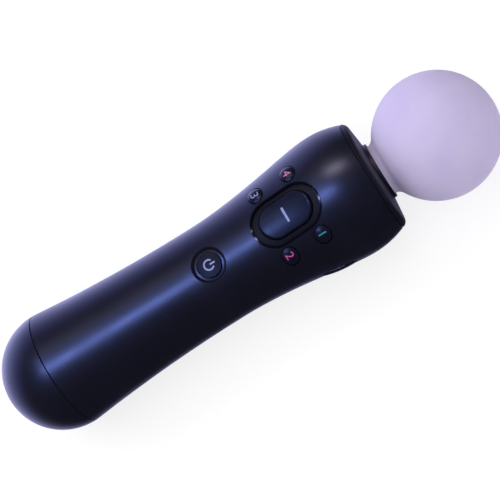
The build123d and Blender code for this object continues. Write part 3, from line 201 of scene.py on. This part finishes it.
# Building blocks of the materials
def new_material(name, colour, roughness, metallic=0.0):
    """Material with its own shader, at a plain colour and roughness."""
    material = bpy.data.materials.new(name)
    material.use_nodes = True
    shader = material.node_tree.nodes["Principled BSDF"]
    shader.inputs["Base Color"].default_value = (*colour, 1)
    shader.inputs["Roughness"].default_value = roughness
    shader.inputs["Metallic"].default_value = metallic
    return material, shader


def noise(material, size, detail=4.0, stretch=(1, 1, 1)):
    """Noise in the piece's own coordinates, its grains about as large as given."""
    tree = material.node_tree
    place = tree.nodes.new("ShaderNodeTexCoord")
    mapping = tree.nodes.new("ShaderNodeMapping")
    mapping.inputs["Scale"].default_value = stretch
    texture = tree.nodes.new("ShaderNodeTexNoise")
    texture.inputs["Scale"].default_value = 1 / size
    texture.inputs["Detail"].default_value = detail
    tree.links.new(place.outputs["Object"], mapping.inputs["Vector"])
    tree.links.new(mapping.outputs["Vector"], texture.inputs["Vector"])
    return texture.outputs["Fac"]


def grain(material, shader, size, height, strength=1.0, stretch=(1, 1, 1)):
    """Fine bumps all over."""
    tree = material.node_tree
    bump = tree.nodes.new("ShaderNodeBump")
    bump.inputs["Strength"].default_value = strength
    bump.inputs["Distance"].default_value = height
    tree.links.new(noise(material, size, 3.0, stretch), bump.inputs["Height"])
    tree.links.new(bump.outputs["Normal"], shader.inputs["Normal"])


def mottle(material, shader, size, low, high, stretch=(1, 1, 1)):
    """Roughness that wanders between two values, as handling leaves it."""
    tree = material.node_tree
    spread = tree.nodes.new("ShaderNodeMapRange")
    spread.inputs["From Min"].default_value = 0.3
    spread.inputs["From Max"].default_value = 0.7
    spread.inputs["To Min"].default_value = low
    spread.inputs["To Max"].default_value = high
    tree.links.new(noise(material, size, 5.0, stretch), spread.inputs["Value"])
    tree.links.new(spread.outputs["Result"], shader.inputs["Roughness"])


def tint(material, shader, size, first, second, stretch=(1, 1, 1)):
    """Colour that drifts slightly between two shades."""
    tree = material.node_tree
    ramp = tree.nodes.new("ShaderNodeValToRGB")
    ramp.color_ramp.elements[0].position = 0.35
    ramp.color_ramp.elements[1].position = 0.65
    ramp.color_ramp.elements[0].color = (*first, 1)
    ramp.color_ramp.elements[1].color = (*second, 1)
    tree.links.new(noise(material, size, 4.0, stretch), ramp.inputs["Fac"])
    tree.links.new(ramp.outputs["Color"], shader.inputs["Base Color"])


# Finishes
def pale_floor():
    """White table lit from below, so that shadows on it stay faint."""
    material, shader = new_material("pale_floor", (0.30, 0.30, 0.30), 0.9)
    shader.inputs["Specular IOR Level"].default_value = 0.0
    shader.inputs["Emission Color"].default_value = (1.0, 1.0, 1.0, 1)
    shader.inputs["Emission Strength"].default_value = 0.76
    mottle(material, shader, 0.2, 0.85, 0.95)
    return material


def satin_black():
    """Moulded grip plastic with a fine spark-eroded grain and a violet cast."""
    material, shader = new_material("satin_black", (0.0070, 0.0063, 0.0115), 0.34)
    shader.inputs["IOR"].default_value = 1.55
    shader.inputs["Specular Tint"].default_value = (0.32, 0.42, 1.0, 1)
    tint(material, shader, 0.02, (0.0062, 0.0056, 0.0104), (0.0078, 0.0070, 0.0126))
    mottle(material, shader, 0.012, 0.32, 0.38)
    grain(material, shader, 0.25 * MM, 0.006 * MM, 0.5)
    return material


def combine(tree, operation, *values):
    """One step of arithmetic in a material, on numbers and on other steps' results."""
    step = tree.nodes.new("ShaderNodeMath")
    step.operation = operation
    for place, value in zip(step.inputs, values):
        if isinstance(value, (int, float)):
            place.default_value = value
        else:
            tree.links.new(value, place)
    return step.outputs[0]


def gloss_black():
    """Black plastic of the moat: polished on its rim, dull on its floor."""
    material, shader = new_material("gloss_black", (0.003, 0.003, 0.006), 0.2)
    shader.inputs["Specular IOR Level"].default_value = 0.20
    shader.inputs["Specular Tint"].default_value = (0.55, 0.60, 1.0, 1)
    low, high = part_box("button_bezel")
    middle = (low + high) / 2
    reach = (high.y - low.y) / 2
    straight = (high.x - low.x) / 2 - reach
    tree = material.node_tree
    place = tree.nodes.new("ShaderNodeTexCoord")
    split = tree.nodes.new("ShaderNodeSeparateXYZ")
    tree.links.new(place.outputs["Object"], split.inputs[0])
    along = combine(tree, "ABSOLUTE", combine(tree, "SUBTRACT", split.outputs["X"], middle.x))
    beyond = combine(tree, "MAXIMUM", combine(tree, "SUBTRACT", along, straight), 0.0)
    beyond_square = combine(tree, "POWER", beyond, 2.0)
    across_square = combine(tree, "POWER", split.outputs["Y"], 2.0)
    spread = combine(tree, "SQRT", combine(tree, "ADD", beyond_square, across_square))
    edge = tree.nodes.new("ShaderNodeMapRange")
    edge.inputs["From Min"].default_value = reach - RIM_INSIDE - RIM_BLEND
    edge.inputs["From Max"].default_value = reach - RIM_INSIDE
    edge.inputs["To Min"].default_value = 0.60
    edge.inputs["To Max"].default_value = 0.16
    tree.links.new(spread, edge.inputs["Value"])
    tree.links.new(edge.outputs["Result"], shader.inputs["Roughness"])
    grain(material, shader, 2.0 * MM, 0.01 * MM, 0.3)
    return material


def smoked_clear():
    """Dark smoky plastic of the buttons, satin to the touch."""
    material, shader = new_material("smoked_clear", (0.006, 0.006, 0.014), 0.36)
    shader.inputs["Specular IOR Level"].default_value = 0.28
    shader.inputs["Specular Tint"].default_value = (0.30, 0.42, 1.0, 1)
    tint(material, shader, 0.008, (0.0055, 0.0055, 0.0130), (0.0070, 0.0068, 0.0155))
    mottle(material, shader, 0.004, 0.32, 0.40)
    grain(material, shader, 0.2 * MM, 0.003 * MM, 0.4)
    return material


def smoked_dull():
    """The buttons' smoky plastic, duller on the sunken round one."""
    material, shader = new_material("smoked_dull", (0.006, 0.006, 0.013), 0.42)
    shader.inputs["Specular IOR Level"].default_value = 0.14
    shader.inputs["Specular Tint"].default_value = (0.34, 0.46, 1.0, 1)
    tint(material, shader, 0.006, (0.0055, 0.0055, 0.0120), (0.0068, 0.0066, 0.0145))
    mottle(material, shader, 0.003, 0.38, 0.46)
    grain(material, shader, 0.2 * MM, 0.003 * MM, 0.4)
    return material


def collar_black():
    """The grip's plastic, a little duller on the ring under the ball, and a little darker there as painted
    shade under the ball.
    """
    # Base colour and its drift are a little darker than the grip's: painted shade under the ball.
    material, shader = new_material("collar_black", (0.0060, 0.0055, 0.0100), 0.44)
    shader.inputs["Specular IOR Level"].default_value = 0.42
    shader.inputs["Specular Tint"].default_value = (0.50, 0.55, 1.0, 1)
    tint(material, shader, 0.015, (0.0055, 0.0050, 0.0092), (0.0066, 0.0060, 0.0108))
    mottle(material, shader, 0.010, 0.40, 0.48)
    grain(material, shader, 0.25 * MM, 0.006 * MM, 0.5)
    return material


def ball_white():
    """Soft translucent ball, matt, with a lilac cast."""
    material, shader = new_material("ball_white", (0.60, 0.53, 0.80), 0.70)
    shader.inputs["Specular IOR Level"].default_value = 0.2
    shader.inputs["Subsurface Weight"].default_value = 0.35
    shader.inputs["Subsurface Radius"].default_value = (1.0, 0.8, 1.0)
    shader.inputs["Subsurface Scale"].default_value = 4 * MM
    tint(material, shader, 0.012, (0.58, 0.51, 0.79), (0.62, 0.55, 0.81))
    mottle(material, shader, 0.008, 0.65, 0.75)
    grain(material, shader, 0.3 * MM, 0.01 * MM, 0.4)
    return material


def plain_plastic(name, first, second, low, high, size=0.3 * MM):
    """Moulded plastic with a drift of shade and a fine grain."""
    material, shader = new_material(name, first, high)
    tint(material, shader, 0.006, first, second)
    mottle(material, shader, 0.004, low, high)
    grain(material, shader, size, 0.01 * MM, 0.5)
    return material


def frame_grey():
    """Plastic of the inner frame and the reset plunger."""
    return plain_plastic("frame_grey", (0.11, 0.11, 0.12), (0.13, 0.13, 0.14), 0.42, 0.55)


def lamp_white():
    """White plastic of the lamp holder."""
    return plain_plastic("lamp_white", (0.76, 0.76, 0.77), (0.82, 0.82, 0.82), 0.35, 0.45)


def plug_white():
    """Creamy nylon of the sockets for the leads and the flex."""
    return plain_plastic("plug_white", (0.70, 0.68, 0.62), (0.77, 0.75, 0.70), 0.38, 0.50)


def chip_black():
    """Moulded black of the chips, the switches and the larger tail socket."""
    return plain_plastic("chip_black", (0.022, 0.022, 0.024), (0.035, 0.035, 0.037), 0.55, 0.70, 0.08 * MM)


def rubber_grey():
    """Silicone rubber of the keypad."""
    return plain_plastic("rubber_grey", (0.22, 0.22, 0.23), (0.27, 0.27, 0.28), 0.62, 0.78, 0.2 * MM)


def foam_black():
    """Closed-cell foam of the battery's pad and the motor's boot."""
    return plain_plastic("foam_black", (0.030, 0.030, 0.031), (0.055, 0.055, 0.056), 0.85, 0.95, 0.5 * MM)


def cell_wrap():
    """Shrink wrap round the battery, pulled tight along it."""
    material, shader = new_material("cell_wrap", (0.09, 0.10, 0.13), 0.35)
    tint(material, shader, 0.010, (0.08, 0.09, 0.12), (0.11, 0.12, 0.15), (0.4, 1, 1))
    mottle(material, shader, 0.004, 0.28, 0.40)
    grain(material, shader, 2.5 * MM, 0.04 * MM, 0.4, (0.3, 1, 1))
    return material


def wire_cover(name, first, second):
    """Soft cover of a wire."""
    material, shader = new_material(name, first, 0.45)
    tint(material, shader, 0.003, first, second)
    mottle(material, shader, 0.002, 0.40, 0.52)
    grain(material, shader, 0.4 * MM, 0.01 * MM, 0.4)
    return material


def lead_red():
    """Red cover of the battery's and the motor's leads."""
    return wire_cover("lead_red", (0.42, 0.02, 0.02), (0.50, 0.03, 0.03))


def lead_grey():
    """Grey cover of the tail cable."""
    return wire_cover("lead_grey", (0.17, 0.17, 0.19), (0.22, 0.22, 0.24))


def flex_amber():
    """Thin amber film with copper tracks that run along it."""
    material, shader = new_material("flex_amber", (0.42, 0.18, 0.03), 0.28)
    tint(material, shader, 0.0012, (0.36, 0.14, 0.02), (0.55, 0.27, 0.07), (0.02, 1, 0.02))
    mottle(material, shader, 0.003, 0.22, 0.34)
    return material


def board_green():
    """Circuit board: green solder mask over a web of tracks."""
    material, shader = new_material("board_green", (0.015, 0.11, 0.045), 0.30)
    tree = material.node_tree
    place = tree.nodes.new("ShaderNodeTexCoord")
    cells = tree.nodes.new("ShaderNodeTexVoronoi")
    cells.distance = "MANHATTAN"
    cells.feature = "F1"
    cells.inputs["Scale"].default_value = 1 / 0.0018
    ramp = tree.nodes.new("ShaderNodeValToRGB")
    ramp.color_ramp.interpolation = "EASE"
    ramp.color_ramp.elements[0].position = 0.42
    ramp.color_ramp.elements[1].position = 0.50
    ramp.color_ramp.elements[0].color = (0.012, 0.095, 0.040, 1)
    ramp.color_ramp.elements[1].color = (0.030, 0.165, 0.070, 1)
    tree.links.new(place.outputs["Object"], cells.inputs["Vector"])
    tree.links.new(cells.outputs["Distance"], ramp.inputs["Fac"])
    tree.links.new(ramp.outputs["Color"], shader.inputs["Base Color"])
    mottle(material, shader, 0.004, 0.24, 0.36)
    grain(material, shader, 0.5 * MM, 0.01 * MM, 0.4)
    return material


def metal(name, first, second, low, high, stretch=(1, 1, 1), size=0.3 * MM):
    """Bare or plated metal, brushed along one way where it is stretched."""
    material, shader = new_material(name, first, high, 1.0)
    tint(material, shader, 0.003, first, second, stretch)
    mottle(material, shader, 0.0012, low, high, stretch)
    grain(material, shader, size, 0.006 * MM, 0.4, stretch)
    return material


def steel():
    """Brushed steel of the trigger's pin and coil, the inner screws and the motor."""
    return metal("steel", (0.52, 0.52, 0.54), (0.60, 0.60, 0.61), 0.22, 0.36, (0.2, 1, 1))


def socket_metal():
    """Bright plating of the smaller tail socket and the radio module's can."""
    return metal("socket_metal", (0.58, 0.58, 0.60), (0.66, 0.66, 0.67), 0.12, 0.22)


def gold():
    """Yellow metal of the contacts, the pins and the motor's weight."""
    return metal("gold", (0.80, 0.56, 0.20), (0.88, 0.64, 0.26), 0.18, 0.28)


def screw_black():
    """Blackened steel of the shell screws and the strap bar."""
    return metal("screw_black", (0.030, 0.030, 0.035), (0.050, 0.050, 0.055), 0.32, 0.45)


def lens_clear():
    """Clear moulded lens, faintly frosted."""
    material, shader = new_material("lens_clear", (0.92, 0.94, 0.97), 0.12)
    shader.inputs["Transmission Weight"].default_value = 0.9
    shader.inputs["IOR"].default_value = 1.49
    mottle(material, shader, 0.002, 0.08, 0.16)
    grain(material, shader, 0.6 * MM, 0.004 * MM, 0.3)
    return material


FINISHES = (
    satin_black, gloss_black, smoked_clear, ball_white, frame_grey, lamp_white, lens_clear, board_green,
    chip_black, steel, screw_black, socket_metal, gold, rubber_grey, foam_black, cell_wrap, lead_red,
    lead_grey, flex_amber, plug_white,
)


def dress_nodes():
    """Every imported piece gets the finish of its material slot, a few outer ones their own."""
    finishes = {make.__name__: make() for make in FINISHES}
    for part in frame["record"]["subparts"]:
        for slot in nodes[part["node"]].material_slots:
            slot.material = finishes[part["material_slot"]]
    # The ring under the ball gets a darker copy of the grip's plastic: painted shade.
    nodes["collar_ring"].material_slots[0].material = collar_black()
    nodes["home_button"].material_slots[0].material = smoked_dull()
    return finishes


# Marks on the buttons
def print_ink(name, colour):
    """Matt ink, a little uneven where it lies on the grain."""
    material, shader = new_material(name, colour, 0.5)
    shade = tuple(0.85 * part for part in colour)
    tint(material, shader, 0.0006, shade, colour)
    mottle(material, shader, 0.0004, 0.45, 0.60)
    grain(material, shader, 0.1 * MM, 0.003 * MM, 0.4)
    return material


def lay_on(mark, node, place, turn):
    """A flat mark is placed over a button, cut fine, laid on its surface and given a thickness."""
    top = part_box(node)[1].z + MARK_START
    mark.data.transform(Matrix.Translation((place.x, place.y, top)) @ Matrix.Rotation(turn, 4, "Z"))
    deselect()
    mark.select_set(True)
    bpy.context.view_layer.objects.active = mark
    bpy.ops.object.mode_set(mode="EDIT")
    low = Vector([min(v.co[i] for v in mark.data.vertices) for i in range(3)])
    high = Vector([max(v.co[i] for v in mark.data.vertices) for i in range(3)])
    for axis in (0, 1):
        cut = low[axis] + MARK_CELL
        while cut < high[axis]:
            bpy.ops.mesh.select_all(action="SELECT")
            point, normal = [0, 0, top], [0, 0, 0]
            point[axis], normal[axis] = cut, 1
            bpy.ops.mesh.bisect(plane_co=point, plane_no=normal)
            cut += MARK_CELL
    bpy.ops.mesh.select_all(action="SELECT")
    bpy.ops.mesh.remove_doubles(threshold=MARK_MERGE)
    bpy.ops.object.mode_set(mode="OBJECT")
    drop = mark.modifiers.new("drop", "SHRINKWRAP")
    drop.wrap_method = "PROJECT"
    drop.use_project_z = True
    drop.use_negative_direction, drop.use_positive_direction = True, False
    drop.target = nodes[node]
    drop.offset = MARK_LIFT
    thick = mark.modifiers.new("thick", "SOLIDIFY")
    thick.thickness, thick.offset = MARK_THICKNESS, 1
    bpy.ops.object.modifier_apply(modifier="drop")
    bpy.ops.object.modifier_apply(modifier="thick")


def finish_piece(piece, name, material, body):
    """Name, finish and body of a new piece."""
    piece.name = name
    piece.data.materials.clear()
    piece.data.materials.append(material)
    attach(piece, body)


def middle_of(node):
    """Middle of a piece, seen from above."""
    low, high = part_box(node)
    return (low + high) / 2


def make_number(number, node, height, ink):
    """Printed number, its top towards the ball."""
    deselect()
    bpy.ops.object.text_add(location=(0, 0, 0))
    mark = bpy.context.object
    mark.data.body = str(number)
    mark.data.align_x, mark.data.align_y = "CENTER", "CENTER"
    mark.data.size = height
    bpy.ops.object.convert(target="MESH")
    mark = bpy.context.object
    middle = sum((Vector(corner) for corner in mark.bound_box), Vector()) / 8
    mark.data.transform(Matrix.Translation(-middle))
    place = middle_of(node)
    lay_on(mark, node, place, -pi / 2)
    finish_piece(mark, f"number_{number}", ink, node)


def start_editing(flat):
    """A new flat primitive, named by its operator, is opened for editing with all of it selected."""
    deselect()
    flat()
    bpy.ops.object.mode_set(mode="EDIT")
    bpy.ops.mesh.select_mode(type="FACE")
    return bpy.context.object


def pick_faces(piece, wanted):
    """In edit mode, only the faces whose middle is wanted are selected."""
    bpy.ops.mesh.select_all(action="DESELECT")
    bpy.ops.object.mode_set(mode="OBJECT")
    for face in piece.data.polygons:
        face.select = wanted(face.center)
    bpy.ops.object.mode_set(mode="EDIT")


def make_bar(node, ink):
    """Printed bar with round ends, across the wand."""
    mark = start_editing(lambda: bpy.ops.mesh.primitive_plane_add(size=1, location=(0, 0, 0)))
    bpy.ops.transform.resize(value=(BAR_WIDTH, BAR_LENGTH, 1))
    bpy.ops.mesh.bevel(offset=BAR_ROUNDING, segments=8, affect="VERTICES")
    bpy.ops.object.mode_set(mode="OBJECT")
    lay_on(mark, node, middle_of(node), 0)
    finish_piece(mark, "bar_mark", ink, node)


def make_standby_mark(node, ink):
    """Printed open ring with a stroke through its opening, which is towards the ball."""
    mark = start_editing(lambda: bpy.ops.mesh.primitive_circle_add(
        vertices=STANDBY_SIDES, radius=STANDBY_RADIUS, fill_type="NGON", location=(0, 0, 0)
    ))
    bpy.ops.mesh.inset(thickness=STANDBY_STROKE)
    bpy.ops.mesh.delete(type="FACE")
    pick_faces(mark, lambda middle: abs(atan2(middle.y, middle.x)) < STANDBY_OPENING / 2)
    bpy.ops.mesh.delete(type="FACE")
    bpy.ops.mesh.primitive_plane_add(size=1, location=(STANDBY_STROKE_MIDDLE, 0, 0))
    bpy.ops.transform.resize(value=(STANDBY_STROKE_LENGTH, STANDBY_STROKE, 1))
    bpy.ops.object.mode_set(mode="OBJECT")
    lay_on(mark, node, middle_of(node), 0)
    finish_piece(mark, "standby_mark", ink, node)


def make_marks():
    """Plain numbers on the round buttons, a standby mark and a bar on the others."""
    inks = (
        print_ink("ink_teal", (0.010, 0.300, 0.360)),
        print_ink("ink_rose", (0.520, 0.080, 0.320)),
        print_ink("ink_lilac", (0.230, 0.260, 0.600)),
        print_ink("ink_pink", (0.560, 0.140, 0.420)),
    )
    for number, ink in enumerate(inks, start=1):
        make_number(number, f"face_button_{number}", NUMBER_HEIGHT, ink)
    make_standby_mark("home_button", inks[2])
    make_bar("main_button", inks[2])


# Soft and metal details
def make_foam_pad(material):
    """Foam pad between the battery and the frame, its corners and rims rounded by the squeeze."""
    low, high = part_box("battery_pad")
    size = high - low
    deselect()
    bpy.ops.mesh.primitive_cube_add(size=1, location=(low + high) / 2)
    pad = bpy.context.object
    bpy.ops.object.mode_set(mode="EDIT")
    bpy.ops.transform.resize(value=size)
    bpy.ops.mesh.select_mode(type="EDGE")
    bpy.ops.mesh.select_all(action="DESELECT")
    bpy.ops.object.mode_set(mode="OBJECT")
    corners = pad.data.vertices
    for edge in pad.data.edges:
        ends = [corners[index].co for index in edge.vertices]
        edge.select = abs(ends[0].z - ends[1].z) > size.z / 2
    bpy.ops.object.mode_set(mode="EDIT")
    bpy.ops.mesh.bevel(offset=PAD_CORNER, segments=PAD_CORNER_FACES, affect="EDGES")
    pick_faces(pad, lambda middle: abs(middle.z) > size.z / 3)
    bpy.ops.mesh.region_to_loop()
    bpy.ops.mesh.bevel(offset=PAD_RIM, segments=PAD_RIM_FACES, affect="EDGES")
    bpy.ops.object.mode_set(mode="OBJECT")
    bpy.ops.object.transform_apply(location=True, rotation=False, scale=True)
    bpy.ops.object.shade_smooth_by_angle(angle=SMOOTH_ANGLE)
    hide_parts("battery_pad")
    finish_piece(pad, "foam_pad", material, "wand")


def make_spring(material):
    """Coil that pushes the trigger out."""
    low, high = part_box("trigger_spring")
    middle = (low + high) / 2
    start = low.z + SPRING_WIRE / 2
    deselect()
    bpy.ops.mesh.primitive_circle_add(
        vertices=SPRING_SIDES, radius=SPRING_WIRE / 2, rotation=(pi / 2, 0, 0),
        location=(high.x - SPRING_WIRE / 2, middle.y, start),
    )
    coil = bpy.context.object
    bpy.context.scene.cursor.location = (middle.x, middle.y, start)
    bpy.ops.object.transform_apply(location=True, rotation=True, scale=True)
    bpy.ops.object.origin_set(type="ORIGIN_CURSOR")
    winding = coil.modifiers.new("winding", "SCREW")
    winding.angle = SPRING_TURNS * 2 * pi
    winding.screw_offset = high.z - low.z - SPRING_WIRE
    winding.steps = winding.render_steps = SPRING_TURNS * SPRING_STEPS
    bpy.ops.object.modifier_apply(modifier="winding")
    bpy.ops.object.mode_set(mode="EDIT")
    bpy.ops.mesh.select_all(action="SELECT")
    bpy.ops.mesh.fill_holes(sides=SPRING_SIDES)
    bpy.ops.mesh.select_all(action="SELECT")
    bpy.ops.mesh.normals_make_consistent(inside=False)
    bpy.ops.object.mode_set(mode="OBJECT")
    bpy.ops.object.transform_apply(location=True, rotation=False, scale=False)
    bpy.ops.object.shade_smooth_by_angle(angle=SMOOTH_ANGLE)
    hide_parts("trigger_spring")
    finish_piece(coil, "trigger_coil", material, "wand")
    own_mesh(coil)


def make_pins(node, count, wall, material):
    """Gold strips on top of a socket's tongue, one modelled and the others copied from it."""
    low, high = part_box(node)
    middle = (low + high) / 2
    tongue_width = (high.y - low.y - 2 * wall) * (1 - TONGUE_SHARE / 2)
    tongue_top = middle.z + (high.z - low.z - 2 * wall) * TONGUE_SHARE / 2
    pitch = tongue_width / (count + PIN_END_SHARE)
    size = Vector((PIN_REACH, PIN_WIDTH_SHARE * pitch, PIN_THICKNESS))
    place = Vector((
        low.x + PIN_SETBACK + size.x / 2,
        middle.y - pitch * (count - 1) / 2,
        tongue_top + PIN_PROUD_SHARE * size.z,
    ))
    deselect()
    bpy.ops.mesh.primitive_cube_add(size=1, location=place)
    pin = bpy.context.object
    bpy.ops.object.mode_set(mode="EDIT")
    bpy.ops.transform.resize(value=size)
    bpy.ops.mesh.bevel(offset=PIN_EDGE_SHARE * size.z, segments=2, affect="EDGES")
    bpy.ops.object.mode_set(mode="OBJECT")
    bpy.ops.object.transform_apply(location=True, rotation=False, scale=True)
    bpy.ops.object.shade_smooth_by_angle(angle=SMOOTH_ANGLE)
    for number in range(1, count):
        copy = pin.copy()
        copy.data = pin.data.copy()
        copy.data.transform(Matrix.Translation((0, number * pitch, 0)))
        bpy.context.scene.collection.objects.link(copy)
        finish_piece(copy, f"{node}_pin_{number + 1}", material, "wand")
    finish_piece(pin, f"{node}_pin_1", material, "wand")


make_camera()
make_floor()
make_lights()
make_surroundings()
finishes = dress_nodes()
make_marks()
make_foam_pad(finishes["foam_black"])
make_spring(finishes["steel"])
make_pins("usb_socket", USB_PINS, USB_WALL, finishes["gold"])
make_pins("extension_socket", EXTENSION_PINS, EXTENSION_WALL, finishes["gold"])
bpy.context.scene.view_settings.view_transform = "Standard"
